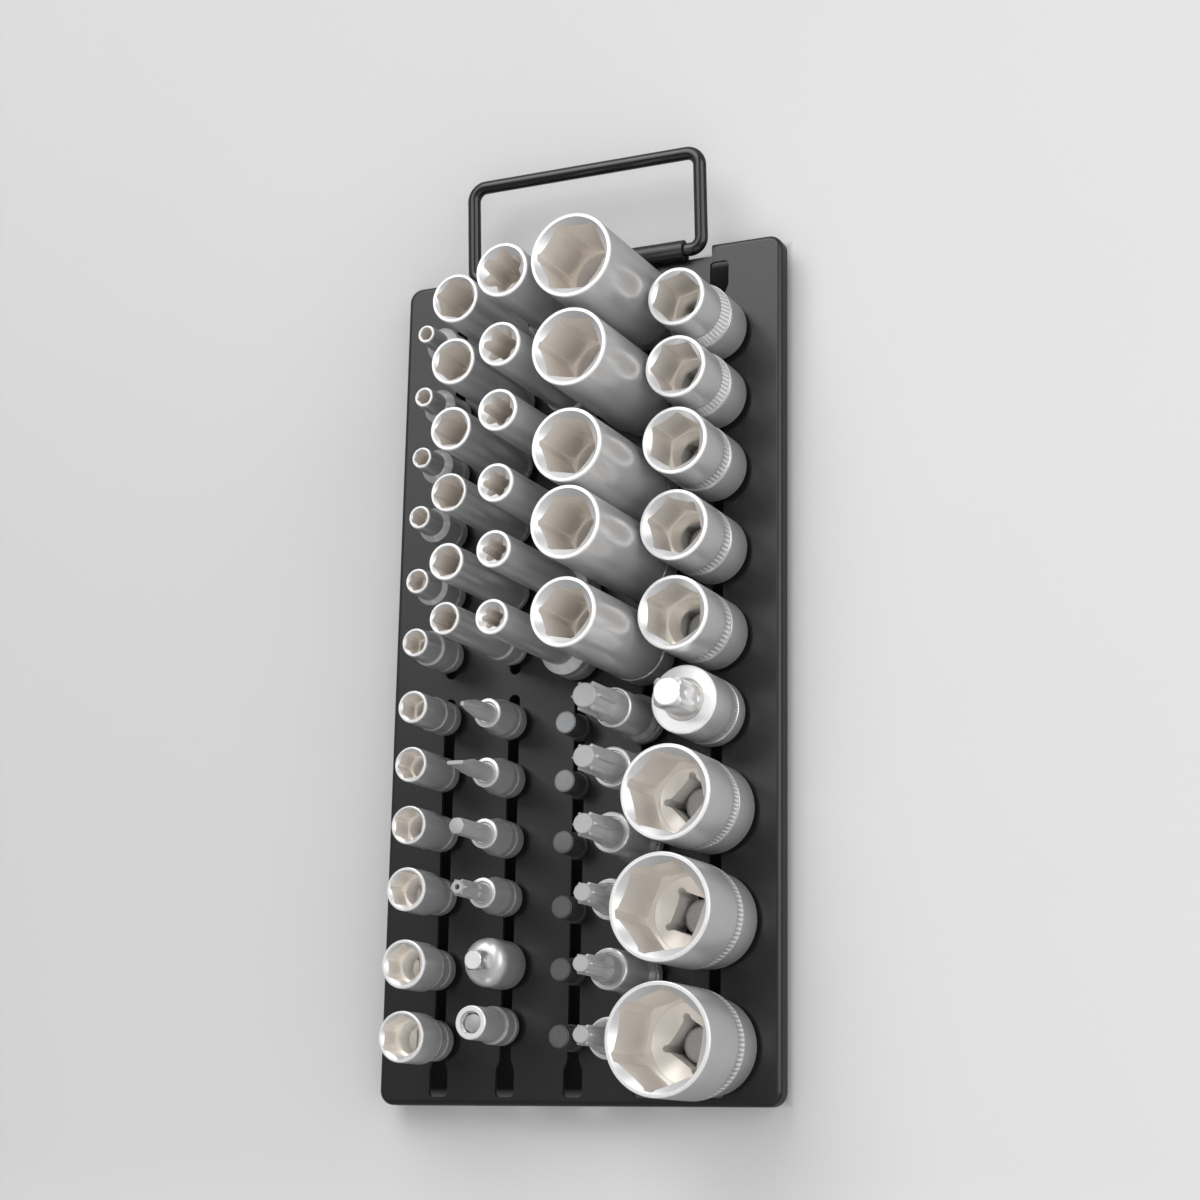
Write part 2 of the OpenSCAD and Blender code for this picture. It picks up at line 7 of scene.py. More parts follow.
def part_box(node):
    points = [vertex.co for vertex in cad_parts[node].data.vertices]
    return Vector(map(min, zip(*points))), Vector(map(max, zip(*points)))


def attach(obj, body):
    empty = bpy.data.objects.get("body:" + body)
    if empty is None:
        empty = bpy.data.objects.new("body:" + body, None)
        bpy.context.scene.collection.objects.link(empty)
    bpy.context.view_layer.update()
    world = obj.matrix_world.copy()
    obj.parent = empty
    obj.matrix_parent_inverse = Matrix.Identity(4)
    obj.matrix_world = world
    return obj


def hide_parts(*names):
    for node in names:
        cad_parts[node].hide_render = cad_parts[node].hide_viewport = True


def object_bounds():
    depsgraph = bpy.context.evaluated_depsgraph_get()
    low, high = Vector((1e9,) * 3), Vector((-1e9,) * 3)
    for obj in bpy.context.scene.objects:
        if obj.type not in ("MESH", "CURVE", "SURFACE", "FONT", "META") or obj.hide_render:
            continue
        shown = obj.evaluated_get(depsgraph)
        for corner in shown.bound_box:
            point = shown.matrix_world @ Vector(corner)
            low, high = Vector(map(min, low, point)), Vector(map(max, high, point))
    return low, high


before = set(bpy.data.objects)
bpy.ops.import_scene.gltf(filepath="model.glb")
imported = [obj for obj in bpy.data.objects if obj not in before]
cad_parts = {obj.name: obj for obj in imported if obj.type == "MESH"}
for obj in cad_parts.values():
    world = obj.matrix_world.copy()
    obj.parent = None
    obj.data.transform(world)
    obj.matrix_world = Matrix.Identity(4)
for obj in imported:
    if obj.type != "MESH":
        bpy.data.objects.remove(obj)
cad_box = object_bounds()

# Panel: one pressed steel sheet with ten keyhole slots, its four edges folded back and a tab rolled forward
# along the top. It is powder coated black all over, which leaves a fine skin like orange peel, polished a
# little in patches by use.

mm = 0.001


class Shade:
    """One socket among a finish's nodes. Sums, differences and products of it add Math nodes."""

    def __init__(self, tree, socket=None):
        self.tree = tree
        self.socket = socket

    def node(self, kind, settings, inputs, output=0):
        """Adds a node with its settings, then sets or links its inputs, and gives one of its outputs."""
        made = self.tree.nodes.new(kind)
        for name, value in settings.items():
            setattr(made, name, value)
        for name, value in inputs.items():
            if isinstance(value, Shade):
                self.tree.links.new(value.socket, made.inputs[name])
            else:
                made.inputs[name].default_value = value
        return Shade(self.tree, made.outputs[output])

    def math(self, operation, first, second):
        return self.node("ShaderNodeMath", {"operation": operation}, {0: first, 1: second})

    def __add__(self, other):
        return self.math("ADD", self, other)

    def __radd__(self, other):
        return self.math("ADD", other, self)

    def __sub__(self, other):
        return self.math("SUBTRACT", self, other)

    def __rsub__(self, other):
        return self.math("SUBTRACT", other, self)

    def __mul__(self, other):
        return self.math("MULTIPLY", self, other)

    def __rmul__(self, other):
        return self.math("MULTIPLY", other, self)

    def blend(self, low, high):
        """A colour between two, as far along as this value says. A Mix node takes its colours in inputs 6
        and 7, and gives one at output 2."""
        inputs = {"Factor": self, 6: (*low, 1), 7: (*high, 1)}
        return self.node("ShaderNodeMix", {"data_type": "RGBA"}, inputs, 2)

    def run(self, start, end, low=0, high=1):
        """A value that runs from low to high while this one goes from start to end, and then stays."""
        limits = {"Value": self, "From Min": start, "From Max": end, "To Min": low, "To Max": high}
        return self.node("ShaderNodeMapRange", {}, limits)

    def coordinate(self, axis):
        return self.node("ShaderNodeSeparateXYZ", {}, {"Vector": self}, axis)

    def feed(self, name):
        shader = self.tree.nodes["Principled BSDF"]
        self.tree.links.new(self.socket, shader.inputs[name])


def start_finish(name, fixed):
    """A new finish, with the values that are the same all over its surface."""
    finish = bpy.data.materials.new(name)
    finish.use_nodes = True
    shader = finish.node_tree.nodes["Principled BSDF"]
    for socket, value in fixed.items():
        shader.inputs[socket].default_value = value
    return finish, Shade(finish.node_tree)


def grain(start, scale, detail, stretch=(1, 1, 1)):
    """Noise from 0 to 1 in the piece's own metres: scale counts its grains along a metre."""
    place = start.node("ShaderNodeTexCoord", {}, {}, "Object")
    place = start.node("ShaderNodeMapping", {}, {"Vector": place, "Scale": stretch})
    return start.node("ShaderNodeTexNoise", {}, {"Vector": place, "Scale": scale, "Detail": detail})


def raise_skin(start, height, depth, strength):
    """Turns a 0 to 1 height into a bump that is depth deep."""
    inputs = {"Height": height, "Distance": depth, "Strength": strength}
    start.node("ShaderNodeBump", {}, inputs).feed("Normal")


def powder_coat():
    finish, start = start_finish("powder_coat", {"IOR": 1.45, "Coat Weight": 0.32, "Coat Roughness": 0.22})
    peel = grain(start, 900, 3)
    wear = grain(start, 22, 4)
    tone = 0.35 * peel + 0.65 * wear
    tone.blend((0.005, 0.0051, 0.0054), (0.009, 0.0091, 0.0096)).feed("Base Color")
    (0.25 + 0.09 * wear + 0.07 * peel).feed("Roughness")
    raise_skin(start, peel, 0.06 * mm, 0.5)
    return finish


def paint_node(name, finish):
    """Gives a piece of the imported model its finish."""
    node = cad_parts[name]
    node.data.materials.clear()
    node.data.materials.append(finish)


paint_node("panel", powder_coat())


# Bail: a bright-drawn steel wire bent to a square loop, lacquered gloss black. Its lower run turns inside
# the tab that is rolled round it, and handling has left duller patches in the lacquer.

def wire_lacquer():
    finish, start = start_finish("wire_lacquer", {"IOR": 1.5, "Coat Roughness": 0.05})
    drawn = grain(start, 700, 3)
    patches = grain(start, 60, 2)
    patches.blend((0.004, 0.004, 0.0042), (0.008, 0.008, 0.0085)).feed("Base Color")
    (0.12 + 0.1 * patches).feed("Roughness")
    (0.45 - 0.25 * patches).feed("Coat Weight")
    raise_skin(start, drawn, 0.02 * mm, 0.4)
    return finish


paint_node("bail", wire_lacquer())


# Clips: moulded in glass-filled nylon, each with a foot behind the sheet, a neck in the slot, a flange and
# a round post that a drive socket slides over. The posts that carry no socket have a fluted rim to grip.

def clip_nylon(name, row, end_sheen, lowest_sheen_share):
    """Glass fibres speckle the nylon grey. The front ends of the row's posts are painted paler: a painted
    sheen, strongest on the highest posts. End sheen says how pale they get, and the lowest sheen
    share says how much of that is left on the lowest posts."""
    finish, start = start_finish(name, {"IOR": 1.5})
    fibres = grain(start, 1500, 4)
    cloud = grain(start, 160, 2)
    place = start.node("ShaderNodeTexCoord", {}, {}, "Object")
    depth, height = place.coordinate("Y"), place.coordinate("Z")
    end_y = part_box(row)[0].y
    low_z, high_z = 80 * mm, 125 * mm
    # Painted sheen: the last half millimetre of each post's front end is painted paler, more so the higher
    # the post.
    post_end_mask = depth.run(end_y + 0.5 * mm, end_y + 0.1 * mm)
    sheen_by_height = height.run(low_z, high_z, lowest_sheen_share, 1)
    tone = 0.04 * (fibres + cloud) + post_end_mask * sheen_by_height * (end_sheen + 0.4 * end_sheen * fibres)
    tone.blend((0.012, 0.0125, 0.014), (0.98, 0.99, 1)).feed("Base Color")
    (0.3 + 0.2 * fibres).feed("Roughness")
    raise_skin(start, fibres, 0.05 * mm, 0.6)
    return finish


# The paler post ends are painted light: a painted sheen on the posts in the open, and on the fixed posts,
# which stand inside the sockets' drive holes, painted light that lifts the shade there.
short_nylon = clip_nylon("short_clip_nylon", "clips_1_upper", end_sheen=0.1, lowest_sheen_share=1)
long_nylon = clip_nylon("clip_nylon", "clips_3_upper", end_sheen=0.3, lowest_sheen_share=0.12)
fixed_nylon = clip_nylon("fixed_clip_nylon", "fixed_clips", end_sheen=0.5, lowest_sheen_share=1)
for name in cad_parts:
    if name.startswith(("clips_1", "clips_2")):
        paint_node(name, short_nylon)
    elif name.startswith("clips"):
        paint_node(name, long_nylon)
paint_node("fixed_clips", fixed_nylon)


# Half-inch sockets, short: forged chrome vanadium steel, turned, satin chromed, and ridged where the drive
# end steps to the barrel. The mouth is broached with six sides and its edge is polished. Each socket is
# drawn as rings of points, one after the other, like the cuts of a lathe and a broach.

def satin_chrome():
    finish, start = start_finish("satin_chrome", {"Metallic": 0.7})
    blast = grain(start, 5200, 2)
    cloud = grain(start, 75, 3)
    (0.6 * cloud + 0.4 * blast).blend((0.65, 0.65, 0.655), (0.77, 0.77, 0.77)).feed("Base Color")
    (0.24 + 0.07 * cloud + 0.05 * blast).feed("Roughness")
    raise_skin(start, blast, 0.012 * mm, 0.35)
    return finish


# Polished chrome, partly matt and near white: the polish is real, and the pale matt share is painted
# highlight, which keeps the polished edges bright from any side.
def polished_chrome_and_highlight():
    finish, start = start_finish("polished_chrome_and_highlight", {"Metallic": 0.45})
    cloud = grain(start, 260, 3)
    cloud.blend((0.86, 0.86, 0.86), (0.94, 0.94, 0.94)).feed("Base Color")
    (0.2 + 0.1 * cloud).feed("Roughness")
    raise_skin(start, cloud, 0.01 * mm, 0.3)
    return finish


def broached_bore(name, tone):
    """Warm, because the plating is thin in a mouth, with the broach's lines along the bore."""
    finish, start = start_finish(name, {"Metallic": 0.5})
    lines = grain(start, 1.0, 3, (2600, 90, 2600))
    cloud = grain(start, 180, 2)
    dark, light = tone * Vector((0.92, 0.87, 0.815)), tone * Vector((1.06, 1.01, 0.95))
    (0.5 * lines + 0.5 * cloud).blend(dark, light).feed("Base Color")
    (0.34 + 0.14 * lines).feed("Roughness")
    raise_skin(start, lines, 0.02 * mm, 0.35)
    return finish


def bore_floor():
    finish, start = start_finish("bore_floor", {"Metallic": 0.62})
    cloud = grain(start, 420, 4)
    cloud.blend((0.94, 0.895, 0.82), (1, 0.96, 0.9)).feed("Base Color")
    (0.26 + 0.12 * cloud).feed("Roughness")
    raise_skin(start, cloud, 0.02 * mm, 0.4)
    return finish


def drive_wall():
    """Inside the drive hole the plating is thin and dull, with hardly any metal shine. Its pale colour is
    painted light, which lifts the shade deep in the hole.
    """
    finish, start = start_finish("drive_wall", {"Metallic": 0.1})
    cloud = grain(start, 300, 3)
    cloud.blend((0.84, 0.83, 0.81), (0.94, 0.93, 0.91)).feed("Base Color")
    (0.45 + 0.1 * cloud).feed("Roughness")
    raise_skin(start, cloud, 0.02 * mm, 0.3)
    return finish


def satin_steel():
    """The bits' own finish, greyer than chrome and finely ground."""
    finish, start = start_finish("satin_steel", {"Metallic": 0.25})
    ground = grain(start, 3400, 3)
    cloud = grain(start, 110, 3)
    (0.6 * cloud + 0.4 * ground).blend((0.36, 0.36, 0.365), (0.46, 0.46, 0.465)).feed("Base Color")
    (0.45 + 0.1 * cloud + 0.08 * ground).feed("Roughness")
    raise_skin(start, ground, 0.015 * mm, 0.4)
    return finish


# Each name is the place of its finish in the list, which every tool carries whole.
BODY, RIM, BORE, FLOOR, HOLE, STEEL, DEEP = range(7)
tool_finishes = [
    satin_chrome(), polished_chrome_and_highlight(), broached_bore("broached_bore", 0.8), bore_floor(), drive_wall(),
    satin_steel(), broached_bore("deep_bore", 0.92)
]


def lay_ring(outline, height):
    """Moves the selected ring: each point keeps its angle, and takes its radius and height from it."""
    mesh = bmesh.from_edit_mesh(bpy.context.object.data)
    for point in mesh.verts:
        if point.select:
            turn = math.atan2(point.co.y, point.co.x)
            radius = outline(turn) if callable(outline) else outline
            rise = height(turn) if callable(height) else height
            point.co = (radius * math.cos(turn), radius * math.sin(turn), rise)
    return mesh


def start_ring(outline, height, count):
    """The first ring of a new tool, of count points, left selected for the next to be drawn from it."""
    bpy.ops.object.select_all(action="DESELECT")
    bpy.ops.mesh.primitive_circle_add(vertices=count, radius=1.0)
    bpy.ops.object.mode_set(mode="EDIT")
    bpy.ops.mesh.select_all(action="SELECT")
    lay_ring(outline, height)


def draw_ring(outline, height, finish=BODY, ticks=0):
    """Draws the selected ring out to the next one, and gives the band between them its finish. A band with
    ticks is divided into that many, and the second half of each takes the polished rim finish, a painted
    highlight on each ridge."""
    bpy.ops.mesh.extrude_edges_indiv()
    mesh = lay_ring(outline, height)
    for edge in mesh.edges:
        if edge.select:
            middle = edge.verts[0].co + edge.verts[1].co
            share = math.atan2(middle.y, middle.x) / (2 * math.pi)
            bright = ticks and (share * ticks) % 1 > 0.5
            for face in edge.link_faces:
                face.material_index = RIM if bright else finish


def close_end(finish):
    """Ends the drawing in a flat face over the selected ring."""
    bpy.ops.mesh.edge_face_add()
    for face in bmesh.from_edit_mesh(bpy.context.object.data).faces:
        if face.select:
            face.material_index = finish


def set_down(node):
    """Joins rings that meet, turns the tool to point out of the panel, and puts it on its post."""
    bpy.ops.mesh.select_all(action="SELECT")
    bpy.ops.mesh.remove_doubles(threshold=0.0005 * mm)
    bpy.ops.mesh.normals_make_consistent(inside=False)
    bpy.ops.object.mode_set(mode="OBJECT")
    tool = bpy.context.object
    tool.name = "turned_" + node
    for finish in tool_finishes:
        tool.data.materials.append(finish)
    low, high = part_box(node)
    tool.location = ((low.x + high.x) / 2, high.y, (low.z + high.z) / 2)
    tool.rotation_euler = (math.pi / 2, 0, 0)
    bpy.ops.object.transform_apply(location=True, rotation=True, scale=True)
    bpy.ops.object.shade_smooth_by_angle(angle=math.radians(28))
    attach(tool, node)
    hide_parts(node)


def length_of(node):
    low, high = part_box(node)
    return high.y - low.y


def end_radii(node):
    """Radii of the solid at its drive end and at its front end, each within a chamfer's depth of it."""
    low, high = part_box(node)
    middle = (low + high) / 2
    chamfer = 1.2 * mm
    points = [v.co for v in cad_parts[node].data.vertices]
    drive_end = [p for p in points if p.y > high.y - chamfer]
    front_end = [p for p in points if p.y < low.y + chamfer]
    return [max(math.hypot(p.x - middle.x, p.z - middle.z) for p in end) for end in (drive_end, front_end)]


def sided(count, across, turn=0.0, corner=1.0, channel=0.0):
    """Outline with flat sides and its first corner at turn. Corners reach a share of their full reach, and
    where there is a channel, they open to that reach over its share of each side."""
    half = math.pi / count
    reach = corner * across / 2 / math.cos(half)

    def outline(angle):
        off = abs((angle - turn) % (2 * half) - half)
        if half - off < channel * half:
            return reach
        return min(across / 2 / math.cos(off), reach)

    return outline


def relieved_square(side, turn):
    """A square outline, its first corner at turn, with a round relief that cuts into each corner."""
    four = sided(4, side, turn)
    reach, relief = 0.66 * side, 0.1 * side

    def outline(angle):
        off = (angle - turn + math.pi / 4) % (math.pi / 2) - math.pi / 4
        across = reach * math.sin(off)
        if abs(across) > relief:
            return four(angle)
        return max(four(angle), reach * math.cos(off) + math.sqrt(relief ** 2 - across ** 2))

    return outline


def knurl(radius, depth, count):
    """Ridges round a tool: every second one of count points lies lower."""
    def outline(angle):
        return radius - depth * (round(angle * count / (2 * math.pi)) % 2)

    return outline


def square(side, corner=1.0, channel=0.0):
    return sided(4, side, math.pi / 4, corner, channel)


def grown(shape, size):
    """An outline that lies outside another by the size."""
    def outline(angle):
        return shape(angle) + size

    return outline


def turned_down(shape, radius):
    """An outline whose corners are turned down to a radius."""
    def outline(angle):
        return min(shape(angle), radius)

    return outline


def morphed(radius, shape, share):
    """An outline between a circle, at share 0, and another outline, at share 1."""
    def outline(angle):
        return radius + share * (shape(angle) - radius)

    return outline


def slope_between(back, front):
    """Length along a tool of the slope that leads from one radius to another."""
    return 1.2 * abs(front - back) + 0.25 * mm


def draw_skin(steps):
    """Draws ring after ring. A step is a ring's outline and height, and may add a finish and ticks."""
    for step in steps:
        draw_ring(*step)


def rim_steps(radius, length):
    """The outer edge of a mouth, rolled over by polishing."""
    return [
        (radius, length - 0.6 * mm, BODY),
        (radius - 0.05 * mm, length - 0.3 * mm, RIM),
        (radius - 0.16 * mm, length - 0.1 * mm, RIM),
        (radius - 0.34 * mm, length, RIM),
        (radius - 0.5 * mm, length, RIM),
        (radius - 0.56 * mm, length - 0.07 * mm, BORE),
        (radius - 0.62 * mm, length, BORE),
    ]


def draw_mouth(radius, length, mouth, corner, floor, finish=DEEP):
    """From the rim inwards: the lead-in chamfer and the broached walls down to the floor."""
    edge = max(corner + 0.2 * mm, 0.97 * radius - 0.75 * mm)
    lead = 0.75
    wall = length - floor - 0.3 * lead * corner
    draw_ring(edge, length, RIM)
    draw_ring(edge - 0.1 * mm, length - 0.06 * mm, RIM)
    draw_ring(mouth, lambda turn: length - lead * (edge - mouth(turn)), BODY)
    for share in (0.88, 0.5, 0.1, 0):
        draw_ring(mouth, floor + share * wall, finish)


def draw_hex_mouth(radius, length, flats, turn, floor, finish=DEEP):
    """A six-sided mouth, its first corner at turn degrees, each corner cut off by a narrow channel."""
    corner = flats / 2 / math.cos(math.pi / 6)
    hexagon = sided(6, flats, math.radians(turn), corner=0.985, channel=0.18)
    draw_mouth(radius, length, hexagon, corner, floor, finish)


def draw_waist(floor, waist, lip, waist_start, drive, drive_depth):
    """The floor's webs, a groove, the chamfer down to a round waist, and the square for the drive."""
    draw_ring(waist + lip, floor - 0.25 * mm, FLOOR)
    draw_ring(waist + lip - 0.12 * mm, floor - 0.5 * mm, BORE)
    draw_ring(waist + lip - 0.24 * mm, floor - 0.4 * mm, FLOOR)
    draw_ring(waist + 0.1 * mm, floor - 0.3 * mm - lip, FLOOR)
    draw_ring(waist, floor - 0.6 * mm - lip, HOLE)
    draw_ring(waist, waist_start + 0.5 * mm, HOLE)
    draw_ring(drive, drive_depth, FLOOR)
    draw_drive_end(drive)


def draw_dish(floor, edge, fall, drive):
    """A floor turned as a shallow cone that runs down to the square for the drive."""
    draw_ring(edge, floor - 0.25 * mm, FLOOR)
    draw_ring(edge - 0.12 * mm, floor - 0.45 * mm, BORE)
    for share in (0.33, 0.66, 1):
        ring = morphed(edge, drive, share)
        draw_ring(ring, lambda turn: floor - 0.5 * mm - fall * (edge - ring(turn)), FLOOR)
    draw_drive_end(drive)


hole_chamfer = 0.4 * mm


def draw_drive_end(drive):
    """Closes the drawing where start_socket began it, with the chamfered edge of the square hole."""
    draw_ring(drive, 0.5 * mm, HOLE)
    draw_ring(grown(drive, hole_chamfer), 0, RIM)


def start_socket(drive, base, count):
    """Begins at the drive end: the edge of the square hole, the end face and its rolled corner."""
    start_ring(grown(drive, hole_chamfer), 0, count)
    draw_ring(base - 0.6 * mm, 0)
    draw_ring(base - 0.18 * mm, 0.16 * mm, RIM)
    draw_ring(base, 0.6 * mm, RIM)


half_inch, half_inch_depth = 12.9 * mm, 14.6 * mm
half_inch_hole = square(half_inch, corner=0.97, channel=0.15)


def large_socket(number):
    """The first five have a round waist behind the mouth, and the wide last three a dished floor."""
    node = f"large_socket_{number}"
    flats = (15.3, 16, 17, 17.3, 18.5, 24, 27, 28.5)[number - 1] * mm
    turn = (15, 0, 26.25, 45, 30, 45, 7.5, 20)[number - 1]
    wide = number > 5
    count = 144 if wide else 96
    length = length_of(node)
    base, mouth = end_radii(node)
    step = 15.7 * mm
    slope = slope_between(base, mouth) if mouth > base else 0.3 * mm
    flare = max(mouth, base - 0.15 * mm)
    ridge = 0.2 * mm
    drive = half_inch_hole
    if wide:
        drive_turn = (0, 25, 10)[number - 6]
        drive = relieved_square(half_inch, math.radians(drive_turn))
    start_socket(drive, base, count)
    draw_skin([
        (base, step - slope - 0.9 * mm),
        (base - 0.12 * mm, step - slope - 0.75 * mm),
        (base - 0.12 * mm, step - slope - 0.3 * mm),
        (base, step - slope),
        (flare - 0.25 * mm, step - 0.1 * mm),
        (flare - 0.05 * mm, step + 0.1 * mm, RIM if number < 3 else BODY),
        (knurl(flare - 0.02 * mm, ridge, count), step + 0.3 * mm),
        (knurl(mouth - 0.02 * mm, ridge, count), step + 4.8 * mm, BODY, count // 2),
        (mouth, step + 5.1 * mm),
        (mouth, step + 6 * mm),
    ])
    draw_skin(rim_steps(mouth, length))
    web = 4.8 * mm
    floor, floor_edge = half_inch_depth + web, 0.46 * flats
    waist = 5.7 * mm
    draw_hex_mouth(mouth, length, flats, turn, floor, BORE)
    if wide:
        draw_dish(floor, floor_edge, fall=0.4, drive=drive)
    else:
        draw_waist(floor, waist, lip=floor_edge - waist, waist_start=15.2 * mm, drive=drive,
                   drive_depth=half_inch_depth)
    set_down(node)


for number in range(1, 9):
    large_socket(number)


# Half-inch sockets, deep: turned, broached and chromed as the short ones, without their ridges. The plain
# drive end has one groove and steps to a long barrel, and the mouth is broached two fifths of the way down.

def tall_socket(number):
    node = f"tall_socket_{number}"
    flats = (22, 20, 18, 17.5, 16)[number - 1] * mm
    turn = (55, 50, 50, 55, 50)[number - 1]
    count = 144
    length = length_of(node)
    base, mouth = end_radii(node)
    step = 10.7 * mm
    slope = slope_between(base, mouth)
    start_socket(half_inch_hole, base, count)
    draw_skin([
        (base, step - slope - 0.8 * mm),
        (base - 0.2 * mm, step - slope - 0.6 * mm),
        (base - 0.2 * mm, step - slope - 0.25 * mm),
        (base, step - slope, RIM),
        (mouth - 0.12 * mm, step - 0.15 * mm),
        (mouth, step + 0.2 * mm, RIM),
        (mouth, step + 1.5 * mm),
    ])
    draw_skin(rim_steps(mouth, length))
    floor = 0.6 * length
    draw_hex_mouth(mouth, length, flats, turn, floor)
    draw_waist(floor, waist=0.44 * flats, lip=0.5 * mm, waist_start=15.8 * mm, drive=half_inch_hole,
               drive_depth=half_inch_depth)
    set_down(node)


for number in range(1, 6):
    tall_socket(number)


# Three-eighths sockets, deep, for star-headed bolts: satin chromed steel with a ridged band and a groove
# round the drive end, and a mouth broached with six round lobes a third of the way down.

three_eighths_hole = square(9.73 * mm, corner=0.97, channel=0.15)


def six_lobes(across, turn, roundness):
    """Six lobes, the first at turn. A roundness above 1 widens them and narrows the lands between them."""
    def outline(angle):
        fall = 0.5 - 0.5 * math.cos(6 * (angle - turn))
        return across * (0.5 - 0.14 * fall ** roundness)

    return outline


def deep_star_socket(number):
    node = f"deep_star_socket_{number}"
    count = 96
    length = length_of(node)
    base, mouth = end_radii(node)
    across = 2 * mouth * (0.80, 0.78, 0.76, 0.72, 0.69, 0.65)[number - 1]
    turn = (30, 56.25, 45, 56.25, 56.25, 3.75)[number - 1]
    step = 15 * mm
    slope = slope_between(base, mouth)
    ridges = knurl(base, 0.2 * mm, count)
    start_socket(three_eighths_hole, base, count)
    draw_skin([
        (base, 6.4 * mm),
        (ridges, 6.6 * mm),
        (ridges, 9.4 * mm, BODY, count // 2),
        (base, 9.7 * mm),
        (base, step - slope - 0.7 * mm),
        (base - 0.16 * mm, step - slope - 0.5 * mm),
        (base - 0.16 * mm, step - slope - 0.2 * mm),
        (base, step - slope, RIM),
        (mouth, step, RIM),
        (mouth, step + 1.2 * mm),
    ])
    draw_skin(rim_steps(mouth, length))
    lobes = six_lobes(across, math.radians(turn), roundness=1.7)
    floor = 0.65 * length
    draw_mouth(mouth, length, lobes, across / 2, floor)
    draw_waist(floor, waist=0.36 * across, lip=0.3 * mm, waist_start=11.6 * mm, drive=three_eighths_hole,
               drive_depth=10.9 * mm)
    set_down(node)


for number in range(1, 7):
    deep_star_socket(number)


# Quarter-inch sockets, short and deep: satin chromed steel with a groove, a bright line and fine ridges
# round the drive end. The six smallest short ones keep a wide drive end and narrow to a nose, and the two
# largest have a ridged bead on the shoulder.

quarter_hole, quarter_depth = square(6.55 * mm, corner=0.96, channel=0.12), 7.9 * mm


def small_base(base, ridge_start, ridge_end, count):
    """The skin of a small drive end: a groove, a bright line and a band of fine ridges."""
    ridges = knurl(base, 0.07 * mm, count)
    return [
        (base, ridge_start - 0.7 * mm),
        (base - 0.08 * mm, ridge_start - 0.6 * mm),
        (base, ridge_start - 0.5 * mm, RIM),
        (base, ridge_start - 0.1 * mm, RIM),
        (ridges, ridge_start + 0.2 * mm),
        (ridges, ridge_end),
        (base, ridge_end + 0.2 * mm),
    ]


def small_socket(number):
    node = f"small_socket_{number}"
    flats = (4, 4.5, 5, 5.5, 6, 7, 8, 9, 10, 11, 12, 13)[number - 1] * mm
    turn = (0, 15, 5, 25, 10, 20, 25, 5, 30, 50, 35, 30)[number - 1]
    count = 72
    length = length_of(node)
    base, mouth = end_radii(node)
    narrow = number <= 6
    shoulder = 15.7 * mm if narrow else 11.5 * mm
    front = mouth + 0.5 * mm if narrow else mouth
    slope = slope_between(base, front)
    bead, bead_finish = (knurl(front, 0.25 * mm, count), RIM) if number > 10 else (front, BODY)
    start_socket(quarter_hole, base, count)
    draw_skin(small_base(base, 5.0 * mm, 7.6 * mm, count))
    draw_skin([
        (base, shoulder - slope - 0.25 * mm),
        (base, shoulder - slope),
        (front + 0.15 * (base - front), shoulder - 0.25 * mm),
        (bead, shoulder, bead_finish),
        (bead, shoulder + 0.7 * mm, bead_finish),
        (front, shoulder + 0.8 * mm),
    ])
    draw_skin(rim_steps(mouth, length))
    floor = 0.64 * length
    draw_hex_mouth(mouth, length, flats, turn, floor)
    draw_waist(floor, waist=0.41 * flats, lip=0.03 * flats, waist_start=8.4 * mm, drive=quarter_hole,
               drive_depth=quarter_depth)
    set_down(node)


def deep_socket(number):
    node = f"deep_socket_{number}"
    flats = (13, 12, 11, 10, 9, 8)[number - 1] * mm
    turn = (45, 20, 0, 5, 10, 5)[number - 1]
    count = 72
    length = length_of(node)
    base, mouth = end_radii(node)
    shoulder = 11.5 * mm
    slope = slope_between(base, mouth)
    start_socket(quarter_hole, base, count)
    draw_skin(small_base(base, 3.4 * mm, 5.6 * mm, count))
    draw_skin([
        (base, shoulder - slope - 0.25 * mm),
        (base, shoulder - slope),
        (mouth, shoulder),
        (mouth, shoulder + 1 * mm),
    ])
    draw_skin(rim_steps(mouth, length))
    floor = 0.6 * length
    draw_hex_mouth(mouth, length, flats, turn, floor)
    draw_waist(floor, waist=0.45 * flats, lip=0.03 * flats, waist_start=12.6 * mm, drive=quarter_hole,
               drive_depth=quarter_depth)
    set_down(node)


for number in range(1, 13):
    small_socket(number)
for number in range(1, 7):
    deep_socket(number)


# Bit sockets: hardened bits pressed into short chromed bodies with a bright ring at the nose. The small
# bits' tips are ground: cross, flat, six-sided, and six lobes pierced for a pin. The large ones carry long
# star splines.

def start_bit_body(drive, drive_depth, base, count):
    """Begins at the floor of the square hole, which is closed on these."""
    start_ring(drive, drive_depth, count)
    close_end(HOLE)
    draw_ring(drive, 0.4 * mm, BORE)
    draw_ring(grown(drive, 0.3 * mm), 0, RIM)
    draw_ring(base - 0.5 * mm, 0)
    draw_ring(base - 0.15 * mm, 0.14 * mm, RIM)
    draw_ring(base, 0.5 * mm, RIM)


def cross(reach, core, arm):
    """Four arms round a core, each twice as thick as arm says. The 0.01 keeps the division off zero."""
    def outline(angle):
        off = (angle + math.pi / 4) % (math.pi / 2) - math.pi / 4
        return max(core, min(reach, arm / max(abs(math.sin(off)), 0.01)))

    return outline


def splines(across):
    """Six narrow ribs on a round core."""
    def outline(angle):
        rise = 0.5 + 2.5 * (math.cos(6 * angle) - 0.7)
        return across * (0.39 + 0.11 * min(1, max(0, rise)))

    return outline


def blade(reach, half_thickness):
    """A bar across a circle. The 0.01 keeps the division off zero."""
    def outline(angle):
        return min(reach, half_thickness / max(abs(math.sin(angle)), 0.01))

    return outline


